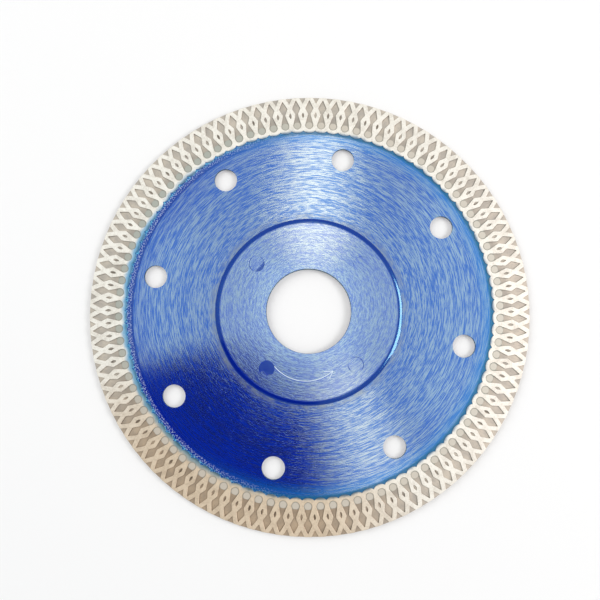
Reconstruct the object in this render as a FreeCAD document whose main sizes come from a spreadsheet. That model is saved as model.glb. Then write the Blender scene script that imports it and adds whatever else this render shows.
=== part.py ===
import FreeCAD, Part
import Sketcher
import math
import os
from FreeCAD import Placement, Rotation, Vector

# A 115 mm diamond saw blade for an angle grinder. A thin steel disc carries a hot-pressed
# diamond ring round its edge, and two thin plates, riveted on, stiffen it about the bore.
# Millimetres. The origin is the centre of the bore, halfway through the blade, with +Z
# along the bore towards the front face. Angles are degrees, anticlockwise from +X as seen
# from the front.

doc = FreeCAD.newDocument("diamond_saw_blade")
UP = Vector(0, 0, 1)

# Driving dimensions: the name, the value and what it measures.
DIMENSIONS = [
    ("outer_diameter", 115.0, "across the cutting edge"),
    ("bore_diameter", 22.23, "arbor hole"),
    ("core_thickness", 0.8, "steel disc, face to face"),
    ("cheek_thickness", 0.2, "diamond ring over each face of the disc"),
    ("joint_gap", 0.02, "between the edge of the disc and its seat in the ring"),
    ("cell_count", 98, "cells of the mesh round the ring"),
    ("first_cell_angle", 3.5, "where the first notch of the ring stands"),
    ("notch_depth", 1.65, "open notch, in from the cutting edge"),
    ("notch_width", 1.64, "open notch, at the cutting edge"),
    ("tip_depth", 0.65, "outer tip of a pocket, in from the cutting edge"),
    ("shoulder_depth", 2.9, "widest place of the pocket's diamond"),
    ("shoulder_width", 2.2, "width of the diamond there"),
    ("neck_depth", 4.55, "narrow neck between the diamond and the bulb"),
    ("neck_width", 0.52, "width of the neck"),
    ("seat_depth", 6.7, "edge of the steel disc, in from the cutting edge"),
    ("mouth_width", 1.86, "width of the pocket where it crosses that edge"),
    ("bulb_end_depth", 8.55, "inner end of the bulb"),
    ("bulb_end_width", 1.4, "width of that end"),
    ("cusp_depth", 9.1, "where two lobes of the ring's inner border meet"),
    ("lobe_depth", 9.7, "inmost place of a lobe"),
    ("cooling_hole_count", 8, "round holes through the disc"),
    ("cooling_hole_diameter", 6.0, "round holes through the disc"),
    ("cooling_hole_inset", 16.14, "centre of a cooling hole, in from the cutting edge"),
    ("first_cooling_angle", 32.3, "where the first cooling hole stands"),
    ("hub_diameter", 49.0, "across a hub plate"),
    ("hub_plate_thickness", 0.5, "one hub plate"),
    ("hub_edge_band", 1.1, "width of the rounded edge of a hub plate"),
    ("hub_edge_land", 0.1, "height of the upright edge below the rounding"),
    ("rivet_inset", 6.0, "centre of a rivet, in from the edge of a hub plate"),
    ("rivet_head_diameter", 4.2, "flush head of a rivet"),
    ("rivet_shank_diameter", 3.2, "shank of a rivet"),
    ("rivet_sink", 0.04, "how far a rivet's head lies under the face of the plate"),
    ("rivet_1_angle", 41.7, "upper right rivet"),
    ("rivet_2_angle", 137.6, "upper left rivet"),
    ("rivet_3_angle", 233.9, "lower left rivet"),
    ("rivet_4_angle", 311.2, "lower right rivet"),
]
RIVET_COUNT = 4


def fill_sheet(dimensions):
    sheet = doc.addObject("Spreadsheet::Sheet", "Sizes")
    for row, (alias, value, meaning) in enumerate(dimensions, start=1):
        sheet.set(f"A{row}", alias)
        sheet.set(f"B{row}", str(value))
        sheet.setAlias(f"B{row}", alias)
        sheet.set(f"C{row}", meaning)
    doc.recompute()
    return sheet


sizes = fill_sheet(DIMENSIONS)

# Lengths that follow from the driving ones, written as the sheet's own expressions.
CORE_TOP = "(Sizes.core_thickness / 2)"
SHANK_RADIUS = "(Sizes.rivet_shank_diameter / 2)"
SEAT_RADIUS = "(Sizes.outer_diameter / 2 - Sizes.seat_depth)"
RIVET_RADIUS = "(Sizes.hub_diameter / 2 - Sizes.rivet_inset)"
COOLING_RADIUS = "(Sizes.outer_diameter / 2 - Sizes.cooling_hole_inset)"
HEAD_DEPTH = "(Sizes.hub_plate_thickness - Sizes.rivet_sink)"
HEAD_SLOPE = f"((Sizes.rivet_head_diameter - Sizes.rivet_shank_diameter) / 2 / {HEAD_DEPTH})"


def value(expression):
    """The number that an expression of the sheet comes to."""
    return float(sizes.evalExpression(expression))


def new_body(name):
    body = doc.addObject("PartDesign::Body", name)
    body.Label = name
    return body


def origin_feature(body, role):
    for feature in body.Origin.OriginFeatures:
        if feature.Role == role:
            return feature
    raise ValueError(f"{body.Name} has no {role}")


def attach(body, feature, role, offsets):
    """Lay a feature on one of its body's own planes, moved by expressions."""
    feature.AttachmentSupport = [(origin_feature(body, role), "")]
    feature.MapMode = "FlatFace"
    for path, expression in offsets.items():
        feature.setExpression(f"AttachmentOffset.{path}", expression)


def new_sketch(body, name, role, offsets):
    sketch = body.newObject("Sketcher::SketchObject", name)
    attach(body, sketch, role, offsets)
    return sketch


def relate(sketch, *constraint):
    sketch.addConstraint(Sketcher.Constraint(*constraint))


def drive(sketch, name, kind, places, expression):
    """Add a dimension to a sketch, name it and bind it to the sheet."""
    number = sketch.addConstraint(Sketcher.Constraint(kind, *places, value(expression)))
    sketch.renameConstraint(number, name)
    sketch.setExpression(f"Constraints.{name}", expression)


def draw_circle(sketch, name, radius, across="0"):
    """A circle round the sketch's origin, or round a place along its X axis."""
    centre = Vector(value(across), 0, 0)
    circle = sketch.addGeometry(Part.Circle(centre, UP, value(radius)))
    drive(sketch, f"{name}_radius", "Radius", (circle,), radius)
    if across == "0":
        relate(sketch, "Coincident", circle, 3, -1, 1)
    else:
        relate(sketch, "PointOnObject", circle, 3, -1)
        drive(sketch, f"{name}_place", "DistanceX", (-1, 1, circle, 3), across)


def falling_arc(top, foot):
    """An arc that leaves its top level with X and curves down to its foot."""
    run, drop = foot.x - top.x, top.y - foot.y
    radius = (run ** 2 + drop ** 2) / (2 * drop)
    circle = Part.Circle(Vector(top.x, top.y - radius, 0), UP, radius)
    return Part.ArcOfCircle(circle, math.atan2(radius - drop, run), math.pi / 2)


def draw_profile(sketch, corners, rolled_side=None):
    """A closed outline whose every corner is placed by two expressions of the sheet.

    Side n runs from corner n to the next one. All sides are straight, except that the
    rolled one is an arc that carries on from the side before it without a kink.
    """
    places = [Vector(value(across), value(along), 0) for _, across, along in corners]
    starts, ends = [], []
    for side, (place, following) in enumerate(zip(places, places[1:] + places[:1])):
        if side == rolled_side:
            sketch.addGeometry(falling_arc(place, following))
            starts.append((side, 2))
            ends.append((side, 1))
        else:
            sketch.addGeometry(Part.LineSegment(place, following))
            starts.append((side, 1))
            ends.append((side, 2))
    for side, end in enumerate(ends):
        following = (side + 1) % len(corners)
        kind = "Tangent" if following == rolled_side else "Coincident"
        relate(sketch, kind, *end, *starts[following])
    for (name, across, along), start in zip(corners, starts):
        if across == "0":
            relate(sketch, "PointOnObject", *start, -2)
        else:
            drive(sketch, f"{name}_across", "DistanceX", (-1, 1, *start), across)
        drive(sketch, f"{name}_along", "DistanceY", (-1, 1, *start), along)


def revolve(body, sketch, name):
    turned = body.newObject("PartDesign::Revolution", name)
    turned.Profile = sketch
    turned.ReferenceAxis = (sketch, ["V_Axis"])
    turned.Angle = 360
    body.Tip = turned
    doc.recompute()


def make_steel_core():
    """The disc: a ring of sheet steel with cooling holes and clear holes for the rivets."""
    body = new_body("steel_core")
    blank = new_sketch(body, "core_blank", "XY_Plane", {"Base.z": f"-{CORE_TOP}"})
    draw_circle(blank, "edge", f"{SEAT_RADIUS} - Sizes.joint_gap")
    draw_circle(blank, "bore", "Sizes.bore_diameter / 2")
    plate = body.newObject("PartDesign::Pad", "core_plate")
    plate.Profile = blank
    plate.setExpression("Length", "Sizes.core_thickness")
    doc.recompute()

    punch = new_sketch(body, "cooling_hole", "XY_Plane", {
        "Base.z": CORE_TOP,
        "Rotation.Angle": "Sizes.first_cooling_angle",
    })
    draw_circle(punch, "hole", "Sizes.cooling_hole_diameter / 2", COOLING_RADIUS)
    hole = body.newObject("PartDesign::Pocket", "cooling_hole_cut")
    hole.Profile = punch
    hole.setExpression("Length", "Sizes.core_thickness")
    doc.recompute()
    holes = body.newObject("PartDesign::PolarPattern", "cooling_holes")
    holes.Originals = [hole]
    holes.Axis = (origin_feature(body, "Z_Axis"), [""])
    holes.Angle = 360
    holes.setExpression("Occurrences", "Sizes.cooling_hole_count")
    body.Tip = holes
    doc.recompute()

    for number in range(1, RIVET_COUNT + 1):
        clear = body.newObject("PartDesign::SubtractiveCylinder", f"core_rivet_hole_{number}")
        attach(body, clear, "XY_Plane", {
            "Base.x": f"{RIVET_RADIUS} * cos(Sizes.rivet_{number}_angle)",
            "Base.y": f"{RIVET_RADIUS} * sin(Sizes.rivet_{number}_angle)",
            "Base.z": f"-{CORE_TOP}",
        })
        clear.setExpression("Radius", SHANK_RADIUS)
        clear.setExpression("Height", "Sizes.core_thickness")
        body.Tip = clear
        doc.recompute()
    return body


def make_hub_plate(name, side):
    """A stiffening plate: a flat ring whose outer edge is rolled down on to the disc.

    It is drawn for the front (side 1). The back plate (side -1) is the same pressing
    turned over about X, so its rivet holes are drawn at the opposite angles.
    """
    body = new_body(name)
    profile = new_sketch(body, f"{name}_profile", "XZ_Plane", {})
    plate_top = f"{CORE_TOP} + Sizes.hub_plate_thickness"
    corners = [
        ("bore_foot", "Sizes.bore_diameter / 2", CORE_TOP),
        ("bore_top", "Sizes.bore_diameter / 2", plate_top),
        ("flat_edge", "Sizes.hub_diameter / 2 - Sizes.hub_edge_band", plate_top),
        ("land_top", "Sizes.hub_diameter / 2", f"{CORE_TOP} + Sizes.hub_edge_land"),
        ("land_foot", "Sizes.hub_diameter / 2", CORE_TOP),
    ]
    draw_profile(profile, corners, rolled_side=2)
    revolve(body, profile, f"{name}_ring")

    for number in range(1, RIVET_COUNT + 1):
        sink = body.newObject("PartDesign::SubtractiveCone", f"{name}_countersink_{number}")
        attach(body, sink, "XY_Plane", {
            "Base.x": f"{RIVET_RADIUS} * cos(Sizes.rivet_{number}_angle)",
            "Base.y": f"{side} * {RIVET_RADIUS} * sin(Sizes.rivet_{number}_angle)",
            "Base.z": CORE_TOP,
        })
        sink.setExpression("Radius1", SHANK_RADIUS)
        sink.setExpression("Radius2", f"{SHANK_RADIUS} + {HEAD_SLOPE} * Sizes.hub_plate_thickness")
        sink.setExpression("Height", "Sizes.hub_plate_thickness")
        body.Tip = sink
        doc.recompute()
    if side < 0:
        body.Placement = Placement(Vector(0, 0, 0), Rotation(Vector(1, 0, 0), 180))
    return body


def make_rivet(number):
    """A flush rivet: a shank through all three sheets, set into a countersink at each end."""
    name = f"hub_rivet_{number}"
    body = new_body(name)
    profile = new_sketch(body, f"{name}_profile", "XZ_Plane", {})
    face = f"({CORE_TOP} + {HEAD_DEPTH})"
    head_radius = "Sizes.rivet_head_diameter / 2"
    corners = [
        ("foot", "0", f"-{face}"),
        ("back_head", head_radius, f"-{face}"),
        ("back_shank", SHANK_RADIUS, f"-{CORE_TOP}"),
        ("front_shank", SHANK_RADIUS, CORE_TOP),
        ("front_head", head_radius, face),
        ("crown", "0", face),
    ]
    draw_profile(profile, corners)
    revolve(body, profile, f"{name}_turned")
    body.setExpression("Placement.Base.x", f"{RIVET_RADIUS} * cos(Sizes.rivet_{number}_angle)")
    body.setExpression("Placement.Base.y", f"{RIVET_RADIUS} * sin(Sizes.rivet_{number}_angle)")
    doc.recompute()
    return body


def flat_face(loops, height):
    """A level face: the first loop is its border and the others are holes in it."""
    lift = Vector(0, 0, height)
    wires = []
    for loop in loops:
        raised = [point + lift for point in loop]
        wires.append(Part.makePolygon(raised + raised[:1]))
    return Part.makeFace(wires, "Part::FaceMakerBullseye")


def wall(start, end, heights):
    """An upright face between two places, with a corner on each side at every height."""
    corners = [start + Vector(0, 0, height) for height in heights]
    corners += [end + Vector(0, 0, height) for height in reversed(heights)]
    return Part.Face(Part.makePolygon(corners + corners[:1]))


def walls_round(loop, heights):
    """The walls along every side of a closed loop of places."""
    return [wall(start, end, heights) for start, end in zip(loop, loop[1:] + loop[:1])]


def make_diamond_rim():
    """The hot-pressed ring, one piece that wraps the edge of the disc like a fork.

    Each face is an X-shaped mesh. One cell holds a notch open to the cutting edge, and half
    a pitch on a pocket: a diamond, a narrow neck and a bulb. The bulb goes right through
    the ring's cheek and shows the disc, and further out the pocket stops on the ring's own
    web, level with the disc. The ring's inner border is one lobe per bulb. The mesh has 98
    cells on each face, so round ends are drawn with a few chords, which keeps the ring
    light, and the cutting edge has straight sides within 0.01 mm of the circle.
    """
    cell_count = int(sizes.cell_count)
    pitch = 360.0 / cell_count
    outer = sizes.outer_diameter / 2
    web_top = sizes.core_thickness / 2
    mesh_top = web_top + sizes.cheek_thickness

    def around(depth, half_width, cell):
        """Place at a depth from the cutting edge, to one side of a cell's middle line."""
        return Rotation(UP, cell * pitch).multVec(Vector(outer - depth, half_width, 0))

    notch_half = sizes.notch_width / 2
    edge_depth = outer - math.sqrt(outer ** 2 - notch_half ** 2)
    notch_outline = [
        (edge_depth, -notch_half),
        (sizes.notch_depth, 0.0),
        (edge_depth, notch_half),
    ]
    pocket_side = [
        (sizes.shoulder_depth, sizes.shoulder_width / 2),
        (sizes.neck_depth, sizes.neck_width / 2),
        (sizes.seat_depth, sizes.mouth_width / 2),
        (sizes.bulb_end_depth, sizes.bulb_end_width / 2),
    ]
    other_side = [(depth, -half_width) for depth, half_width in reversed(pocket_side)]
    pocket_outline = [(sizes.tip_depth, 0.0)] + pocket_side + other_side
    mouth, other_mouth = 3, 6

    notches, pockets = [], []
    cutting_edge, seat_border, cheek_border, inner_border = [], [], [], []
    for cell in range(cell_count):
        middle = cell + 0.5
        notch = [around(depth, side, cell) for depth, side in notch_outline]
        pocket = [around(depth, side, middle) for depth, side in pocket_outline]
        notches.append(notch)
        pockets.append(pocket)
        cutting_edge += notch
        seat_border += [pocket[other_mouth], pocket[mouth]]
        cheek_border += reversed(pocket[mouth:other_mouth + 1])
        inner_border.append(around(sizes.cusp_depth, 0.0, cell))
        inner_border.append(around(sizes.lobe_depth, 0.0, middle))

    relief = [web_top, mesh_top]
    front = [
        flat_face([cutting_edge, inner_border] + pockets, mesh_top),
        flat_face([cheek_border, inner_border], web_top),
    ]
    front += walls_round(inner_border, relief)
    for notch, pocket in zip(notches, pockets):
        front += walls_round(pocket, relief)
        front.append(flat_face([pocket[:mouth + 1] + pocket[other_mouth:]], web_top))
        front += [wall(notch[0], notch[1], relief), wall(notch[1], notch[2], relief)]
        front.append(flat_face([notch], web_top))

    edge = walls_round(seat_border, [-web_top, web_top])
    for notch, next_notch in zip(notches, notches[1:] + notches[:1]):
        edge.append(wall(notch[0], notch[2], [-web_top, web_top]))
        edge.append(wall(notch[2], next_notch[0], [-mesh_top, -web_top, web_top, mesh_top]))

    back = [face.mirror(Vector(0, 0, 0), UP) for face in front]
    faces = front + edge + back
    skin = Part.Compound(faces)
    skin.sewShape()
    solid = Part.makeSolid(skin)
    rim = doc.addObject("Part::Feature", "diamond_rim")
    rim.Label = "diamond_rim"
    rim.Shape = solid
    rim.Placement = Placement(Vector(0, 0, 0), Rotation(UP, sizes.first_cell_angle))
    return rim


sub_parts = [make_diamond_rim(), make_steel_core()]
sub_parts.append(make_hub_plate("front_hub_plate", 1))
sub_parts.append(make_hub_plate("back_hub_plate", -1))
for rivet_number in range(1, RIVET_COUNT + 1):
    sub_parts.append(make_rivet(rivet_number))

doc.recompute()
for item in doc.Objects:
    if "Invalid" in item.State or "Error" in item.State:
        raise RuntimeError(f"{item.Name} did not recompute: {item.State}")
for part in sub_parts:
    if part.Shape.isNull() or not part.Shape.isValid():
        raise RuntimeError(f"{part.Label} has no valid shape")

os.makedirs("parts", exist_ok=True)
for part in sub_parts:
    part.Shape.exportStep(f"parts/{part.Label}.step")
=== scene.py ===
import math
import bmesh
import bpy
import numpy as np
from mathutils import Matrix, Vector


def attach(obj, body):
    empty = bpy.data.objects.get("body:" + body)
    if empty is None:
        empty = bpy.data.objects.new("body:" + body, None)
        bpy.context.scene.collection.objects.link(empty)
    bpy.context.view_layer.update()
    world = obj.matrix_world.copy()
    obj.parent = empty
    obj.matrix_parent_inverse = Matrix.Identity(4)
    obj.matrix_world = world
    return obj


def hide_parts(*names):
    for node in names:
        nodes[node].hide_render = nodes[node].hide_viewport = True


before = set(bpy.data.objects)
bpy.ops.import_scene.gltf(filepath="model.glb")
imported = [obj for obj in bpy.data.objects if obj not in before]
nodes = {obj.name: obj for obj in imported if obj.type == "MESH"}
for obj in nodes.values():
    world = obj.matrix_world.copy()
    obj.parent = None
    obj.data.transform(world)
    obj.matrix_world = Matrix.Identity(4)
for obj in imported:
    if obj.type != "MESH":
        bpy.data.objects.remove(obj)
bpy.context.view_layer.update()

# Steel disc
# The body of the blade: sheet steel 0.8 mm thick, ground all over so that fine arcs run
# round it, then sprayed with a clear blue lacquer. Eight cooling holes go through it.

MM = 0.001
ARC_MIDDLE = 32.0
SCRATCH_MEAN = 1.35
SCRATCH_DEPTH = 0.000018


class Strand:
    """One number or colour inside a finish. Python's operators add Math nodes for it."""

    def __init__(self, finish, socket):
        self.finish = finish
        self.socket = socket

    def other(self, output):
        """Another output of the node that this one comes from."""
        return Strand(self.finish, self.socket.node.outputs[output])

    def math(self, operation, *others):
        return self.finish.add("ShaderNodeMath", {"operation": operation}, [self, *others])

    def __add__(self, other):
        return self.math("ADD", other)

    def __radd__(self, other):
        return self.math("ADD", other)

    def __sub__(self, other):
        return self.math("SUBTRACT", other)

    def __rsub__(self, other):
        return self.finish.add("ShaderNodeMath", {"operation": "SUBTRACT"}, [other, self])

    def __mul__(self, other):
        return self.math("MULTIPLY", other)

    def __rmul__(self, other):
        return self.math("MULTIPLY", other)

    def __truediv__(self, other):
        return self.math("DIVIDE", other)


class Finish:
    """A material in the making: its nodes, and the shader that they feed."""

    def __init__(self, name):
        self.material = bpy.data.materials.new(name)
        self.material.use_nodes = True
        self.tree = self.material.node_tree
        self.shader = self.tree.nodes["Principled BSDF"]

    def feed(self, socket, given):
        if isinstance(given, Strand):
            self.tree.links.new(given.socket, socket)
        else:
            socket.default_value = given

    def add(self, kind, settings, values, output=0):
        """Adds a node: first its settings, then the values or links of its sockets."""
        node = self.tree.nodes.new(kind)
        for name, setting in settings.items():
            setattr(node, name, setting)
        pairs = values.items() if isinstance(values, dict) else enumerate(values)
        for place, given in pairs:
            self.feed(node.inputs[place], given)
        return Strand(self, node.outputs[output])

    def rise(self, value, low, high):
        """0 below one value and 1 above another, with a soft step between."""
        return self.add(
            "ShaderNodeMapRange",
            {"interpolation_type": "SMOOTHSTEP"},
            {"Value": value, "From Min": low, "From Max": high, "To Min": 0.0, "To Max": 1.0},
        )

    def blend(self, amount, first, second):
        """The first colour where the amount is 0 and the second where it is 1."""
        return self.add(
            "ShaderNodeMix", {"data_type": "RGBA"}, {0: amount, 6: first, 7: second}, output=2
        )

    def noise(self, place, scale, detail=2.0, roughness=0.5):
        return self.add(
            "ShaderNodeTexNoise",
            {},
            {"Vector": place, "Scale": scale, "Detail": detail, "Roughness": roughness},
        )

    def place(self):
        """Where a point is on the object, in metres."""
        return self.add("ShaderNodeTexCoord", {}, {}, output="Object")

    def polar(self, centre=(0.0, 0.0)):
        """Radius and bearing about a centre, and height, in millimetres and radians."""
        across = self.add("ShaderNodeSeparateXYZ", {}, [self.place()])
        along = across.other("Y") / MM - centre[1]
        height = across.other("Z") / MM
        across = across / MM - centre[0]
        radius = (across * across + along * along).math("SQRT")
        return radius, along.math("ARCTAN2", across), height

    def arcs(self, centre, width, length):
        """Noise drawn out along arcs about a centre, so many millimetres wide and long.

        The noise is read on a circle, so it has no seam, and the radius is its third axis.
        """
        radius, bearing, height = self.polar(centre)
        reach = ARC_MIDDLE / length
        spot = self.add(
            "ShaderNodeCombineXYZ",
            {},
            [bearing.math("COSINE") * reach, bearing.math("SINE") * reach, radius / width],
        )
        return self.noise(spot, 1.0, 1.5, 0.55)

    def relief(self, height, distance):
        """A normal bent by a height, where 1 stands for so many metres."""
        values = {"Strength": 1.0, "Distance": distance, "Height": height}
        return self.add("ShaderNodeBump", {}, values)

    def over(self, share, **given):
        """Mixes a second surface over the shader, by its share."""
        values = {name.replace("_", " "): value for name, value in given.items()}
        upper = self.add("ShaderNodeBsdfPrincipled", {}, values)
        lower = Strand(self, self.shader.outputs[0])
        both = self.add("ShaderNodeMixShader", {}, [share, lower, upper])
        self.feed(self.tree.nodes["Material Output"].inputs["Surface"], both)

    def close(self, **given):
        """Feeds the shader's sockets, whose names are written with underscores."""
        for name, value in given.items():
            self.feed(self.shader.inputs[name.replace("_", " ")], value)
        return self.material


def colour(red, green, blue):
    return (red, green, blue, 1.0)


LACQUER_DEEP = colour(0.002, 0.026, 0.53)
LACQUER_THICK = colour(0.001, 0.010, 0.26)
LACQUER_SHEEN = colour(0.10, 0.75, 1.0)
STEEL_DIM = colour(0.23, 0.50, 0.84)
STEEL_BRIGHT = colour(0.70, 0.94, 1.0)
# Bare steel of the cut walls, painted near black as painted shade.
SHADED_CUT_STEEL = colour(0.05, 0.055, 0.10)


class Ground:
    """Clear blue lacquer over ground steel.

    Two surfaces share every spot: deep blue lacquer, and the steel that shines through it
    pale and mirrors the room. Arcs round the bore, some of them a little off its centre so
    that they cross, are the scratches. They change the steel's share and bend its normal
    outwards and inwards, which draws every highlight out towards the rim. The share goes
    from the least to the most as the mix of the arcs rises past its own mean.
    """

    def __init__(self, name, least, most, dim=STEEL_DIM):
        self.finish = finish = Finish(name)
        self.radius, self.bearing, self.height = finish.polar()
        self.place = finish.place()
        hair = finish.arcs((0.0, 0.0), 0.05, 1.4)
        leaning = finish.arcs((2.2, 1.2), 0.16, 2.2)
        crossing = finish.arcs((-1.6, 2.4), 0.25, 3.0)
        broad = finish.arcs((0.0, 0.0), 0.5, 18.0)
        self.cloud = finish.noise(self.place, 90.0, 3.0)
        scratches = hair * 0.6 + leaning * 0.9 + crossing * 0.8 + broad * 0.4 - SCRATCH_MEAN
        self.worn = finish.rise(scratches + (self.cloud - 0.5) * 0.12, -0.17, 0.17)
        self.steel = self.worn * (most - least) + least
        self.seen = finish.blend(self.worn, dim, STEEL_BRIGHT)
        self.deep = LACQUER_DEEP
        grooves = hair * 0.3 + leaning * 0.5 + crossing * 0.5
        self.scratched = finish.relief(grooves, SCRATCH_DEPTH)
        self.covers = []

    def thicken(self, amount, deep=LACQUER_THICK):
        """Lets the lacquer run together, so that no steel shows through it."""
        self.steel = self.steel * (1.0 - amount * 0.97)
        self.deep = self.finish.blend(amount, self.deep, deep)

    def cover(self, amount, shade, metal, rough):
        """Lays another surface over both, such as a mark or bare steel."""
        self.covers.append((amount, shade, metal, rough))

    def close(self):
        finish = self.finish
        tint, metal, rough = self.deep, 0.0, 0.16
        for amount, shade, cover_metal, cover_rough in self.covers:
            tint = finish.blend(amount, tint, shade)
            metal = metal + (cover_metal - metal) * amount
            rough = rough + (cover_rough - rough) * amount
            self.steel = self.steel * (1.0 - amount)
        finish.close(
            Base_Color=tint,
            Metallic=metal,
            Roughness=rough,
            Normal=self.scratched,
            Specular_IOR_Level=1.0,
            Specular_Tint=LACQUER_SHEEN,
            Coat_Weight=0.3,
            Coat_Roughness=0.06,
        )
        finish.over(
            self.steel,
            Base_Color=self.seen,
            Metallic=1.0,
            Roughness=0.10,
            Normal=self.scratched,
        )
        return finish.material


CELLS = 98
HALF_PITCH = math.pi / CELLS
FIRST_NOTCH = math.radians(3.5)
BULB_MIDDLE = 49.92
BULB_RADIUS = 1.07
BARE_STEEL = colour(0.64, 0.545, 0.45)
BULB_MIST = colour(0.24, 0.29, 0.26)
BULB_MIST_MIDDLE = math.radians(150)
# Painted shade round the foot of each round pocket end.
BULB_FOOT_SHADE = colour(0.24, 0.19, 0.13)
WORN_STEEL = colour(0.42, 0.47, 0.41)
MIST_CYAN = colour(0.10, 0.46, 0.68)
MIST_PLUM = colour(0.40, 0.42, 0.66)
EDGE_CYAN = colour(0.03, 0.40, 0.80)
PAINTED_EDGE_SHADOW = colour(0.01, 0.08, 0.16)
PLATE_BORDER = 25.2
CYAN_START = 43.5
POOL_START = 45.9
STRIPE_START = 46.4
EDGE_SHADOW_START = 46.9
MIST_START = 47.3
MASK_START = 48.5
DISC_WALL_TOP = 0.36


def bulb_reach(radius, bearing):
    """Distance from the middle of the nearest of the 98 round pocket ends of the ring."""
    cell = ((bearing - FIRST_NOTCH) / (2 * HALF_PITCH)).math("FRACT") - 0.5
    aside = cell * (2 * HALF_PITCH * BULB_MIDDLE)
    outwards = radius - BULB_MIDDLE
    return (aside * aside + outwards * outwards).math("SQRT")


def disc_finish():
    """The disc's lacquer, and what happens to it along the hub plate and the diamond ring.

    Next to the plate it is rubbed thin. Near the ring, on the left, it has gathered in a
    dark line, with a rough mist of plum and cyan after it. On the right it turns a little
    to cyan and ends in a dark ragged line, a painted shadow of the ring's inner border.
    Under the ring the steel was masked, with painted shade round the foot of each round
    pocket end. The walls of the holes are bare steel, painted near black as painted shade.
    """
    ground = Ground("core_lacquer", 0.44, 0.70)
    finish = ground.finish
    radius = ground.radius
    left = finish.rise(0.0 - ground.bearing.math("COSINE"), -0.1, 0.75)
    ragged = (finish.noise(ground.place, 1400.0, 3.0, 0.6) - 0.5) * 1.3
    ground.thicken(finish.rise(radius, 39.0, 46.0) * left * 0.3)
    gathered = finish.rise(radius + ragged * 0.3, POOL_START, POOL_START + 0.4) * left
    ground.thicken(gathered * 0.85)
    right = 1.0 - left
    cyan = finish.rise(radius, CYAN_START, CYAN_START + 3.5)
    ground.cover(cyan * right * 0.35, EDGE_CYAN, 0.5, 0.25)
    # Painted shadow: a dark ragged line on the right, just inside the ring, where its inner
    # border casts a shadow.
    line = finish.rise(radius + ragged * 0.5, EDGE_SHADOW_START, EDGE_SHADOW_START + 0.7)
    ground.cover(line * right * 0.8, PAINTED_EDGE_SHADOW, 0.0, 0.4)
    rubbed = 1.0 - finish.rise(radius + ragged, PLATE_BORDER, PLATE_BORDER + 1.4)
    mottle = finish.noise(ground.place, 480.0, 3.0)
    bared = finish.rise(ground.cloud * 0.5 + mottle * 0.5, 0.36, 0.60)
    ground.cover(rubbed * (bared * 0.4 + ground.worn * 0.25), WORN_STEEL, 0.7, 0.3)
    speck = finish.rise(finish.noise(ground.place, 2600.0, 2.0, 0.6), 0.50, 0.58)
    stripe = finish.rise(radius + ragged * 0.4, STRIPE_START, STRIPE_START + 0.4) * left
    ground.cover(stripe * speck * 0.8, MIST_PLUM, 0.2, 0.6)
    mist = finish.rise(radius + ragged, MIST_START, MIST_START + 0.7) * left
    ground.cover(mist * finish.rise(speck + ragged, -0.2, 0.5) * 0.85, MIST_CYAN, 0.1, 0.5)
    masked = finish.rise(radius, MASK_START, MASK_START + 0.15)
    ground.cover(masked, BARE_STEEL, 0.15, 0.45)
    misted = finish.rise((ground.bearing - BULB_MIST_MIDDLE).math("COSINE"), 0.3, 0.9)
    ground.cover(masked * misted * 0.5, BULB_MIST, 0.15, 0.45)
    # Painted shade on the bare steel round the foot of each round pocket end, under the ring.
    foot = finish.rise(bulb_reach(radius, ground.bearing) + ragged * 0.08, 0.76, 1.04)
    ground.cover(masked * foot * 0.75, BULB_FOOT_SHADE, 0.0, 0.7)
    # The walls of the holes and the disc's edge are bare steel, painted near black as painted
    # shade.
    height = ground.height.math("ABSOLUTE")
    wall = 1.0 - finish.rise(height, DISC_WALL_TOP, DISC_WALL_TOP + 0.03)
    ground.cover(wall, SHADED_CUT_STEEL, 0.7, 0.35)
    return ground.close()


def dress(node, material):
    nodes[node].data.materials.clear()
    nodes[node].data.materials.append(material)


dress("steel_core", disc_finish())

# Diamond rim
# One ring of hot-pressed metal powder and diamond grit, which grips the edge of the disc
# like a fork. Both faces are an X-shaped mesh of raised ribs, 98 cells round, ground level
# on top. Between the ribs lie pockets with a round end, open notches and small pits.

CUTTING_EDGE = 57.485
MESH_TOP = 0.6
DISC_FACE = 0.4
WEB_FLOOR = 0.33
PIT_FLOOR = 0.4
RIB_EASE = 0.07
# How far the painted shade at the foot of the web's walls reaches over the floor.
FOOT_SHADE_REACH = 0.16
SEAT = 50.81
BULB_CENTRE = np.array([BULB_MIDDLE, 0.0])
LOBE_RADIUS = 2.15
WEB_TIP = (56.85, 0.0)
WEB_WIDEST = (54.6, 1.1)
NECK = np.array([52.95, 0.26])
MOUTH = 50.803
WEB_TRIM = 0.22
PIT_SIDE = ((51.85, 0.0), (52.1, -0.2), (52.62, -0.32), (53.05, -0.2), (53.4, 0.0))
NOTCH_TIP = ((55.85, 0.0), (55.99, -0.045))
NOTCH_HALF_WIDTH = 0.90
BULB_STEPS, LOBE_STEPS, EDGE_STEPS = 10, 8, 4
BEND = 0.022
BEND_END = 57.2
BEND_FADE = 1.5
SAME_POINT = 0.002
SHARP_ANGLE = math.radians(35)


def across_axis(point, bearing):
    """A point mirrored in the line through the centre at a bearing."""
    cosine, sine = math.cos(2 * bearing), math.sin(2 * bearing)
    return np.array([[cosine, sine], [sine, -cosine]]) @ point


def turned(points, bearing):
    cosine, sine = math.cos(bearing), math.sin(bearing)
    return np.asarray(points) @ np.array([[cosine, sine], [-sine, cosine]])


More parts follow.
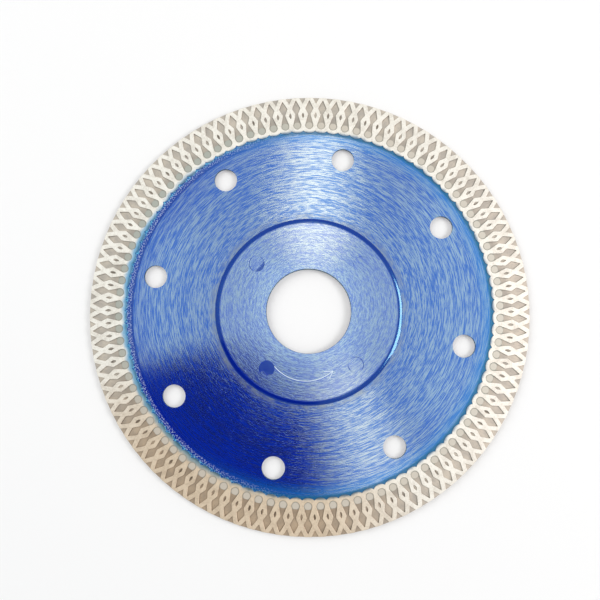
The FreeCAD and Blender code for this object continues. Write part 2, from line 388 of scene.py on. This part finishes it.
def eased(corners, trim):
    """A line whose inner corners are parabolas that start and end a trim away from them.

    Each corner becomes three points: the two ends, and a quarter of each end plus half of
    the corner.
    """
    corners = np.asarray(corners, dtype=float)
    middle = corners[1:-1]
    back, on = corners[:-2] - middle, corners[2:] - middle
    start = middle + trim * back / np.linalg.norm(back, axis=1, keepdims=True)
    end = middle + trim * on / np.linalg.norm(on, axis=1, keepdims=True)
    soft = np.stack([start, (start + 2 * middle + end) / 4, end], axis=1)
    return np.vstack([corners[:1], soft.reshape(-1, 2), corners[-1:]])


def eased_from_axis(corners, trim):
    """The same for a line that starts on the X axis and is one half of a mirrored shape."""
    corners = np.asarray(corners, dtype=float)
    mirrored = corners[:0:-1] * [1, -1]
    whole = eased(np.vstack([mirrored, corners]), trim)
    return whole[len(whole) // 2:]


def moved_aside(line, distance, first_bearing, last_bearing):
    """A line with every side moved to its left by a distance, and its corners mitred.

    A point moves by the sum of the two unit normals that meet there, divided by one plus
    their product. Beyond its ends the line carries on as its own mirror image.
    """
    before = across_axis(line[1], first_bearing)
    after = across_axis(line[-2], last_bearing)
    steps = np.diff(np.vstack([before, line, after]), axis=0)
    steps /= np.linalg.norm(steps, axis=1, keepdims=True)
    left = np.stack([-steps[:, 1], steps[:, 0]], axis=1)
    mitre = left[:-1] + left[1:]
    mitre /= 1 + (left[:-1] * left[1:]).sum(axis=1, keepdims=True)
    return line + distance * mitre


def arc_about(centre, radius, first, last, count):
    angles = np.linspace(first, last, count)
    return centre + radius * np.stack([np.cos(angles), np.sin(angles)], axis=1)


class Shell:
    """Rings of points at given heights, and the faces between them."""

    def __init__(self):
        self.points = []
        self.corners = []
        self.faces = []

    def ring(self, line, height, corner=0.0):
        """One ring of points. Corner is 1 at the foot of a wall, where painted shade lies on the
        floor.
        """
        first = len(self.points)
        self.points += [(x, y, height) for x, y in line]
        self.corners += [corner] * len(line)
        return list(range(first, len(self.points)))

    def fall(self, upper, lower):
        """The wall between two rings, which faces the left of their way."""
        for one, two, three, four in zip(lower[1:], lower, upper, upper[1:]):
            self.faces.append([one, two, three, four])

    def drop(self, line, *levels):
        """A wall straight down a line, through several heights."""
        rings = [self.ring(line, level) for level in levels]
        for upper, lower in zip(rings, rings[1:]):
            self.fall(upper, lower)
        return rings[-1]


def half_cell():
    """Half a cell of one face, from the middle of a pocket to the middle of a pit.

    X is the radius and Y lies across. Each border of the ribs is a line with the ribs on
    its right. On top it is moved back by the easing, and from there walls drop along it to
    the floors.
    """
    to_neck = NECK - BULB_CENTRE
    reach = np.linalg.norm(to_neck)
    touch = math.atan2(to_neck[1], to_neck[0]) + math.acos(BULB_RADIUS / reach)
    bulb = arc_about(BULB_CENTRE, BULB_RADIUS, touch, math.pi, BULB_STEPS)
    share = (NECK[0] - MOUTH) / (NECK[0] - bulb[0, 0])
    mouth = NECK + share * (bulb[0] - NECK)
    web_side = eased_from_axis([WEB_TIP, WEB_WIDEST, NECK, mouth], WEB_TRIM)
    pocket = np.vstack([web_side, bulb])
    on_web = len(web_side)

    cusp = BULB_MIDDLE * math.cos(HALF_PITCH)
    cusp -= math.sqrt(LOBE_RADIUS ** 2 - (BULB_MIDDLE * math.sin(HALF_PITCH)) ** 2)
    cusp_side = cusp * math.sin(HALF_PITCH)
    cusp_in = cusp * math.cos(HALF_PITCH) - BULB_MIDDLE
    to_cusp = math.atan2(cusp_side, cusp_in)
    lobe = arc_about(BULB_CENTRE, LOBE_RADIUS, math.pi, to_cusp, LOBE_STEPS)

    pit = turned(PIT_SIDE, HALF_PITCH)
    notch = turned(NOTCH_TIP, HALF_PITCH)
    corner_turn = NOTCH_HALF_WIDTH / CUTTING_EDGE
    edge_turns = np.linspace(HALF_PITCH - corner_turn, 0.0, EDGE_STEPS)
    edge = CUTTING_EDGE * np.stack([np.cos(edge_turns), np.sin(edge_turns)], axis=1)
    border = np.vstack([notch, edge])

    shell = Shell()
    top = []
    lines = (
        (lobe, 0.0, HALF_PITCH),
        (pit, HALF_PITCH, HALF_PITCH),
        (border, HALF_PITCH, 0.0),
        (pocket, 0.0, 0.0),
    )
    for line, first_bearing, last_bearing in lines:
        crest = shell.ring(moved_aside(line, -RIB_EASE, first_bearing, last_bearing), MESH_TOP)
        shell.fall(crest, shell.ring(line, MESH_TOP - RIB_EASE))
        top += crest
    shell.faces.append(top[::-1])

    shoulder = MESH_TOP - RIB_EASE
    under = shell.drop(lobe, shoulder, DISC_FACE)
    shell.drop(pit, shoulder, PIT_FLOOR)
    # The pit floor carries corner 1 all over: painted shade in the pit.
    shell.faces.append(shell.ring(pit, PIT_FLOOR, 1.0))
    shell.drop(border, shoulder, WEB_FLOOR)
    shell.drop(web_side, shoulder, DISC_FACE, WEB_FLOOR)
    bulb_foot = shell.drop(pocket[on_web - 1:], shoulder, DISC_FACE)

    seat_middle = np.array([[SEAT, 0.0]])
    seat_end = turned([(SEAT, 0.0)], HALF_PITCH)
    # The web floor carries painted shade at the foot of its walls, fading out a reach away from
    # them.
    unshaded_floor = moved_aside(web_side, FOOT_SHADE_REACH, 0.0, 0.0)
    to_middle = seat_middle[0] - web_side[-1]
    unshaded_floor[-1] = web_side[-1] + FOOT_SHADE_REACH * to_middle / np.linalg.norm(to_middle)
    web = shell.ring(unshaded_floor, WEB_FLOOR)
    shell.fall(shell.ring(web_side, WEB_FLOOR, 1.0), web)
    shell.faces.append(web + shell.ring(seat_middle, WEB_FLOOR))
    edge_end = turned([(CUTTING_EDGE, 0.0)], HALF_PITCH)
    notch_floor = np.vstack([border[:len(notch) + 1], edge_end])
    shell.faces.append(shell.ring(notch_floor, WEB_FLOOR))
    shell.faces.append(under + shell.ring(seat_end, DISC_FACE) + bulb_foot)
    shell.drop(np.vstack([seat_middle, unshaded_floor[-1:], mouth, seat_end]), WEB_FLOOR, 0.0)
    shell.drop(np.vstack([mouth, seat_end]), DISC_FACE, WEB_FLOOR)
    shell.drop(np.vstack([edge_end, edge]), WEB_FLOOR, 0.0)
    return np.array(shell.points), np.array(shell.corners), shell.faces


def mesh_from_arrays(name, points, loops, sizes):
    """A mesh from all its points, the point of every face corner, and each face's corners."""
    mesh = bpy.data.meshes.new(name)
    mesh.vertices.add(len(points))
    mesh.vertices.foreach_set("co", points.astype(np.float32).ravel())
    mesh.loops.add(len(loops))
    mesh.loops.foreach_set("vertex_index", loops.astype(np.int32))
    mesh.polygons.add(len(sizes))
    starts = np.concatenate([[0], np.cumsum(sizes)[:-1]])
    mesh.polygons.foreach_set("loop_start", starts.astype(np.int32))
    mesh.update(calc_edges=True)
    mesh.validate()
    return mesh


def new_piece(name, mesh, material):
    piece = bpy.data.objects.new(name, mesh)
    bpy.context.scene.collection.objects.link(piece)
    mesh.materials.append(material)
    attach(piece, "root")
    return piece


def merge_points(mesh, reach):
    work = bmesh.new()
    work.from_mesh(mesh)
    bmesh.ops.remove_doubles(work, verts=work.verts, dist=reach)
    work.to_mesh(mesh)
    work.free()


def pressed_unevenly(mesh):
    """Bends the ribs a few hundredths of a millimetre, as powder shrinks in the press.

    The move is a sum of sine waves over the plane, and dies out towards the cutting edge
    and at the seat, the wall inside the fork that the disc's edge stands against.
    """
    points = np.empty(len(mesh.vertices) * 3, dtype=np.float32)
    mesh.vertices.foreach_get("co", points)
    points = points.reshape(-1, 3).astype(float)
    x, y = points[:, 0] / MM, points[:, 1] / MM
    radius = np.hypot(x, y)
    fade = np.clip((BEND_END - radius) / BEND_FADE, 0, 1) * BEND * MM
    in_fork = np.abs(points[:, 2]) < (DISC_FACE - 0.01) * MM
    fade[in_fork & (radius < SEAT + 0.1)] = 0.0
    points[:, 0] += fade * (np.sin(2.3 * x + 1.1 * y) + np.sin(4.1 * y - 1.7 * x + 0.6))
    points[:, 1] += fade * (np.sin(1.9 * y - 1.3 * x + 2.0) + np.sin(3.7 * x + 2.9 * y))
    mesh.vertices.foreach_set("co", points.astype(np.float32).ravel())


def rim_mesh():
    """Half a cell, mirrored in its pocket and in the middle of the blade, 98 times round."""
    points, corners, faces = half_cell()
    all_points, all_loops, all_sizes = [], [], []
    count = 0
    for across, up in ((1, 1), (-1, 1), (1, -1), (-1, -1)):
        all_points.append(points * [1, across, up])
        ordered = faces if across * up > 0 else [face[::-1] for face in faces]
        all_loops.append(np.concatenate(ordered) + count)
        all_sizes.append(np.array([len(face) for face in ordered]))
        count += len(points)
    cell = np.concatenate(all_points) * MM
    loops = np.concatenate(all_loops)
    sizes = np.concatenate(all_sizes)

    turns = FIRST_NOTCH + HALF_PITCH * (2 * np.arange(CELLS) + 1)
    cosine, sine = np.cos(turns)[:, None], np.sin(turns)[:, None]
    x = cosine * cell[:, 0] - sine * cell[:, 1]
    y = sine * cell[:, 0] + cosine * cell[:, 1]
    z = np.broadcast_to(cell[:, 2], x.shape)
    ring = np.stack([x, y, z], axis=2).reshape(-1, 3)
    ring_loops = (loops[None, :] + count * np.arange(CELLS)[:, None]).ravel()
    mesh = mesh_from_arrays("diamond_mesh", ring, ring_loops, np.tile(sizes, CELLS))
    # The corner attribute carries the painted shade at the foot of the walls and in the pits.
    shade = mesh.attributes.new("corner", "FLOAT", "POINT")
    shade.data.foreach_set("value", np.tile(corners, 4 * CELLS).astype(np.float32))
    merge_points(mesh, SAME_POINT * MM)
    pressed_unevenly(mesh)
    mesh.set_sharp_from_angle(angle=SHARP_ANGLE)
    return mesh


RIB_BRIGHT = colour(0.90, 0.865, 0.79)
RIB_DULL = colour(0.70, 0.65, 0.57)
POCKET_SAND = colour(0.57, 0.51, 0.43)
POCKET_GREY = colour(0.42, 0.385, 0.34)
OVERSPRAY = colour(0.14, 0.38, 0.60)
EDGE_TEAL = colour(0.02, 0.13, 0.26)
GRIT_DARK = colour(0.20, 0.18, 0.15)
# Painted shade for the foot of the walls, the pits and the necks.
PAINTED_CORNER_SHADE = colour(0.11, 0.088, 0.062)
# Painted shade with a warm tan, for the lower left of the ring.
LOWER_LEFT_SHADE_TAN = colour(0.82, 0.69, 0.56)
SHADE_TAN_MIDDLE = math.radians(-112)
MIST_MIDDLE = math.radians(190)


def sintered_metal():
    """Ground ribs, sandy pockets, single grains, and lacquer mist along the inner border, with
    painted shade at the foot of the walls, in the pits and necks, and on the lower left.
    """
    finish = Finish("diamond_matrix")
    radius, bearing, height = finish.polar()
    place = finish.place()
    depth = height.math("ABSOLUTE")
    grain = finish.noise(place, 2600.0, 2.0, 0.6)
    patch = finish.noise(place, 420.0, 3.0)
    cloud = finish.noise(place, 60.0, 2.0)
    crest = finish.rise(depth, 0.5, 0.59)
    ground = finish.rise(grain * 0.5 + patch * 0.5, 0.30, 0.62)
    rib = finish.blend(ground, RIB_DULL, RIB_BRIGHT)
    sandy = finish.rise(patch * 0.6 + cloud * 0.4, 0.35, 0.65)
    floor = finish.blend(sandy, POCKET_GREY, POCKET_SAND)
    metal = finish.blend(crest, floor, rib)
    grit = finish.rise(finish.noise(place, 5200.0, 1.0, 0.5), 0.66, 0.74)
    metal = finish.blend(grit * (0.55 - crest * 0.35), metal, GRIT_DARK)
    # Painted shade at the foot of the walls and in the pits, read from the corner attribute.
    corner = finish.add("ShaderNodeAttribute", {"attribute_name": "corner"}, {}, output="Fac")
    metal = finish.blend(corner * (0.6 + patch * 0.4), metal, PAINTED_CORNER_SHADE)
    # Painted shade in the narrow necks of the web pockets, below the rib tops.
    neck = (1.0 - finish.rise(radius, 51.4, 53.0)) * (1.0 - finish.rise(depth, 0.36, 0.42))
    metal = finish.blend(neck * 0.2, metal, PAINTED_CORNER_SHADE)
    left = finish.rise((bearing - MIST_MIDDLE).math("COSINE"), 0.2, 0.95)
    ragged = (patch - 0.5) * 1.6 + (cloud - 0.5) * 2.0
    mist = 1.0 - finish.rise(radius + ragged - left * 0.7, 47.6, 49.0)
    mist = mist * (0.2 + left * 0.75)
    tint = finish.blend(mist, metal, OVERSPRAY)
    edge_mist = 1.0 - finish.rise(radius + ragged * 0.5, 47.8, 48.5)
    tint = finish.blend(edge_mist * 0.8, tint, EDGE_TEAL)
    # Painted shade: the lower left of the ring is darkened with a warm tan.
    shaded_side = finish.rise((bearing - SHADE_TAN_MIDDLE).math("COSINE"), 0.55, 0.95)
    tint = finish.add(
        "ShaderNodeMix", {"data_type": "RGBA", "blend_type": "MULTIPLY"},
        {0: shaded_side, 6: tint, 7: LOWER_LEFT_SHADE_TAN}, output=2,
    )
    rough = 0.52 - crest * 0.14 + grain * 0.1
    pitted = finish.relief(grain * 0.7 + patch * 0.8, 0.00002)
    finish.close(Base_Color=tint, Metallic=0.15, Roughness=rough, Normal=pitted)
    return finish.material


rim = new_piece("diamond_rim_mesh", rim_mesh(), sintered_metal())
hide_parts("diamond_rim")

# Hub plates
# Two thin rings of the same steel, one on each face, whose outer edge is rolled down on to
# the disc. They are ground and lacquered with the disc. A plain arrow for the direction of
# turning is marked on the front one, with a painted shadow line beside it.

BORE_RADIUS = 11.115
PLATE_FLAT_EDGE = 23.4
PLATE_DIM = colour(0.48, 0.69, 1.0)
MARK_WHITE = colour(0.80, 0.90, 0.95)
ARROW_CENTRE = (-0.73, -7.49)
ARROW_RADIUS = 10.66
ARROW_MIDDLE = math.radians(265.2)
ARROW_HALF_SWEEP = math.radians(45.9)
ARROW_TIP = (6.29, -15.53)
ARROW_BARBS = ((3.96, -15.79), (5.38, -17.46))
ARROW_LINE = 0.125


def arrow_mark(finish, outwards):
    """1 on a thin arc with two barbs at its end, by the distance from each of them.

    Outwards moves the whole mark away from the bore by so many millimetres.
    """
    x = finish.add("ShaderNodeSeparateXYZ", {}, [finish.place()])
    y = x.other("Y") / MM
    x = x / MM
    y = y + outwards
    over, up = x - ARROW_CENTRE[0], y - ARROW_CENTRE[1]
    reach = (over * over + up * up).math("SQRT")
    facing = (over * math.cos(ARROW_MIDDLE) + up * math.sin(ARROW_MIDDLE)) / reach
    off_arc = (reach - ARROW_RADIUS).math("ABSOLUTE")
    on_arc = 1.0 - finish.rise(off_arc, ARROW_LINE * 0.5, ARROW_LINE)
    arc_end = math.cos(ARROW_HALF_SWEEP)
    mark = on_arc * finish.rise(facing, arc_end, arc_end + 0.01)
    for end in ARROW_BARBS:
        run = np.subtract(end, ARROW_TIP)
        length = float(np.hypot(*run))
        along_x, along_y = float(run[0] / length), float(run[1] / length)
        over, up = x - ARROW_TIP[0], y - ARROW_TIP[1]
        along = over * along_x + up * along_y
        aside = (over * along_y - up * along_x).math("ABSOLUTE")
        within = finish.rise(along, -0.1, 0.0) * (1.0 - finish.rise(along, length, length + 0.1))
        barb = (1.0 - finish.rise(aside, ARROW_LINE * 0.5, ARROW_LINE)) * within
        mark = mark.math("MAXIMUM", barb)
    return mark


def plate_finish(name, marked):
    """A plate's lacquer, run together and painted dark on the rolled edge as a painted
    reflection, with the bore wall bare and painted near black as painted shade.
    """
    ground = Ground(name, 0.52, 0.74, PLATE_DIM)
    finish = ground.finish
    # On the rolled edge the lacquer runs thick, and its darkness is a painted reflection of the
    # dark blade round it.
    ground.thicken(finish.rise(ground.radius, PLATE_FLAT_EDGE - 0.45, PLATE_FLAT_EDGE + 0.1))
    if marked:
        # Painted shadow: a dark copy of the arrow, 0.2 mm further from the bore, lies beside the
        # white line.
        ground.cover(arrow_mark(finish, 0.20) * 0.5, LACQUER_DEEP, 0.3, 0.4)
        ground.cover(arrow_mark(finish, 0.0) * 0.95, MARK_WHITE, 0.2, 0.5)
    # The wall of the bore is bare steel, painted near black as painted shade.
    wall = 1.0 - finish.rise(ground.radius, BORE_RADIUS + 0.015, BORE_RADIUS + 0.045)
    ground.cover(wall, SHADED_CUT_STEEL, 0.7, 0.35)
    return ground.close()


dress("front_hub_plate", plate_finish("front_plate_lacquer", True))
dress("back_hub_plate", plate_finish("back_plate_lacquer", False))

# Rivets
# Four flush steel rivets hold the plates and the disc together. Their heads are ground off
# level with the plates before lacquering. The lacquer has gathered in the seam round each
# head, and on some of them it fills a shallow hollow on one side.

RIVET_RING = 18.5
RIVET_HEAD = 2.1
RIVETS = (
    ("hub_rivet_1", 41.7, 200.0, 2.05),
    ("hub_rivet_2", 137.6, -40.0, 0.8),
    ("hub_rivet_3", 233.9, 70.0, -1.7),
    ("hub_rivet_4", 311.2, 130.0, 1.95),
)


def rivet_finish(name, bearing, hollow_bearing, hollow_start):
    """A rivet's lacquer, thick in the seam and in a hollow that starts so far off centre."""
    ground = Ground(f"{name}_lacquer", 0.48, 0.70, PLATE_DIM)
    finish = ground.finish
    x = finish.add("ShaderNodeSeparateXYZ", {}, [finish.place()])
    over = x / MM - RIVET_RING * math.cos(math.radians(bearing))
    up = x.other("Y") / MM - RIVET_RING * math.sin(math.radians(bearing))
    reach = (over * over + up * up).math("SQRT")
    turn = math.radians(hollow_bearing)
    uneven = finish.noise(ground.place, 700.0, 3.0) - 0.5
    towards = over * math.cos(turn) + up * math.sin(turn) + uneven * 1.8
    seam = finish.rise(reach, RIVET_HEAD - 0.30, RIVET_HEAD - 0.12)
    seam = seam * finish.rise(finish.noise(ground.place, 260.0), 0.40, 0.62) * 0.85
    hollow = finish.rise(towards, hollow_start, hollow_start + 0.8) * 0.85
    ground.thicken(seam.math("MAXIMUM", hollow))
    return ground.close()


for name, bearing, hollow_bearing, hollow_start in RIVETS:
    dress(name, rivet_finish(name, bearing, hollow_bearing, hollow_start))

# Table
# The blade lies flat on its back plate on a plain white table.

TABLE_TOP = -0.9 * MM
TABLE_HALF = 1.5


def table_mesh():
    corners = [(-1, -1), (1, -1), (1, 1), (-1, 1)]
    mesh = bpy.data.meshes.new("table_top")
    points = [(x * TABLE_HALF, y * TABLE_HALF, TABLE_TOP) for x, y in corners]
    mesh.from_pydata(points, [], [(0, 1, 2, 3)])
    return mesh


def white_table():
    """A matt white, which the camera alone sees a little brighter than it is lit."""
    finish = Finish("table_white")
    seen = finish.add("ShaderNodeLightPath", {}, {}, output="Is Camera Ray")
    finish.close(
        Base_Color=colour(0.72, 0.72, 0.72),
        Roughness=0.9,
        Emission_Color=colour(1.0, 0.93, 0.92),
        Emission_Strength=seen * 0.19,
    )
    return finish.material


table = bpy.data.objects.new("table", table_mesh())
bpy.context.scene.collection.objects.link(table)
table.data.materials.append(white_table())

# Light
# Two soft lights light the blade and the table, and the blade doesn't mirror them. What it
# does mirror are a light at the right, level lights over it, two of them narrow strips, and
# a dark card that hangs near the camera, over the near left side.

PLAIN_WHITE = (1.0, 1.0, 1.0)
STRIP_WARM = (1.0, 0.72, 0.50)
SHEEN_WARM = (1.0, 0.78, 0.72)
GLOW_COOL = (0.80, 0.97, 1.0)
CARD_BLACK = colour(0.01, 0.01, 0.012)
LIGHT_LEVEL = 0.30
CARD_LEVEL = 0.295
CARD_OUTLINE = (
    (-70, -8),
    (-600, -165),
    (-600, -480),
    (61, -480),
    (8, -47),
    (-20, -47),
    (-30, -18),
)


def soft_light(name, place, towards, width, height, power, tone=PLAIN_WHITE):
    lamp = bpy.data.lights.new(name, "AREA")
    lamp.shape = "RECTANGLE"
    lamp.size, lamp.size_y = width, height
    lamp.energy = power
    lamp.color = tone
    holder = bpy.data.objects.new(name, lamp)
    holder.location = place
    holder.rotation_euler = (Vector(towards) - Vector(place)).to_track_quat("-Z", "Y").to_euler()
    bpy.context.scene.collection.objects.link(holder)
    return holder


def level_light(name, over, width, length, turn, power, tone=PLAIN_WHITE):
    """A soft light that hangs level over a point, turned about its own middle."""
    holder = soft_light(name, (*over, LIGHT_LEVEL), (*over, 0.0), width, length, power, tone)
    holder.rotation_euler = (0.0, 0.0, math.radians(turn))


def dark_card(name, outline, level):
    """A level dark card that only mirror rays meet. Its outline is in millimetres."""
    mesh = bpy.data.meshes.new(name)
    points = [(x * MM, y * MM, level) for x, y in outline]
    mesh.from_pydata(points, [], [range(len(points))])
    finish = Finish(name)
    finish.close(Base_Color=CARD_BLACK, Roughness=1.0, Specular_IOR_Level=0.0)
    mesh.materials.append(finish.material)
    piece = bpy.data.objects.new(name, mesh)
    bpy.context.scene.collection.objects.link(piece)
    piece.visible_camera = False
    piece.visible_diffuse = False
    piece.visible_shadow = False


key = soft_light("key_light", (0.55, -0.02, 0.50), (0, 0, 0), 0.3, 0.3, 2.2)
key.visible_glossy = False
sheen = soft_light("side_sheen", (0.45, -0.02, 0.30), (0, 0, 0), 0.40, 0.35, 5.0, SHEEN_WARM)
sheen.visible_diffuse = False
fill = soft_light("fill_light", (-0.50, 0.30, 0.55), (0, 0, 0), 0.6, 0.6, 2.9)
fill.visible_glossy = False
level_light("hub_glow", (0.0, 0.018), 0.06, 0.06, 0, 0.0055)
level_light("far_strip", (0.010, 0.153), 0.046, 0.19, -3, 0.041, STRIP_WARM)
level_light("near_strip", (0.059, -0.110), 0.042, 0.18, 25, 0.018, STRIP_WARM)
level_light("right_glow", (0.24, 0.02), 0.32, 0.19, 0, 0.03, GLOW_COOL)
level_light("left_glow", (-0.24, 0.06), 0.30, 0.10, -10, 0.012, GLOW_COOL)
dark_card("near_card", CARD_OUTLINE, CARD_LEVEL)

world = bpy.data.worlds.new("room")
world.use_nodes = True
room = world.node_tree.nodes["Background"].inputs
room["Color"].default_value = colour(0.92, 0.98, 1.0)
room["Strength"].default_value = 0.55
bpy.context.scene.world = world
bpy.context.scene.view_settings.view_transform = "Standard"

# Camera
# It looks down from 157 mm over the blade, nearly straight, from a little to the near side.

CAMERA_PLACE = (-0.131 * MM, -9.357 * MM, 157.144 * MM)
CAMERA_TILT = -0.0782029
CAMERA_LEAN = -0.0136040

camera_data = bpy.data.cameras.new("camera")
camera_data.sensor_width = 36.0
camera_data.lens = 36.0
camera_data.clip_start = 0.01
camera = bpy.data.objects.new("camera", camera_data)
tilt = Matrix.Rotation(CAMERA_LEAN, 3, "Y") @ Matrix.Rotation(CAMERA_TILT, 3, "X")
camera.rotation_euler = tilt.transposed().to_euler()
camera.location = CAMERA_PLACE
bpy.context.scene.collection.objects.link(camera)
bpy.context.scene.camera = camera
